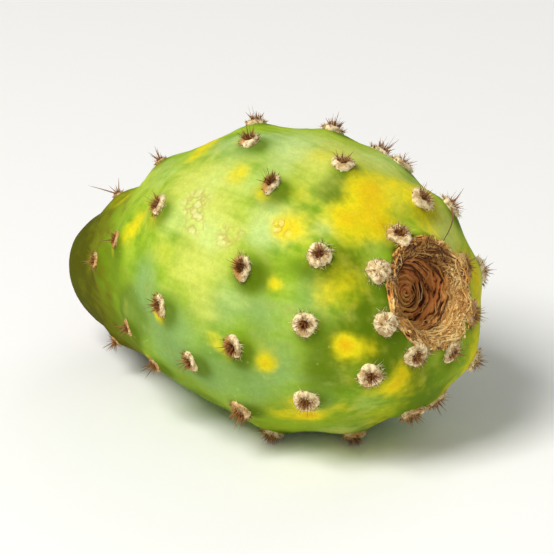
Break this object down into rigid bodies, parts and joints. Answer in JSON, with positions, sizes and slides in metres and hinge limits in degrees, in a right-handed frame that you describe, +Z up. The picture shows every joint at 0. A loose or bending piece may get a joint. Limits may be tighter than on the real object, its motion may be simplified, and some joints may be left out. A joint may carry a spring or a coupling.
{
  "type": "prickly pear fruit",
  "caption": "Green prickly pear fruit lying on its side, with soft bumps, spiny woolly areoles, a dry stem scar and a dished flower scar.",
  "frame": {"origin": "middle of the fruit's box at the height of the flat spot that it rests on", "axes": "+X from the stem scar towards the flower scar, +Z up with the fruit lying on its side"},
  "size_m": [0.085, 0.0618, 0.0512],
  "materials": {
    "prickly_pear_skin": "waxy satin fruit skin"
  },
  "bodies": {
    "root": {"prickly_pear": "prickly_pear_skin"}
  },
  "joints": []
}
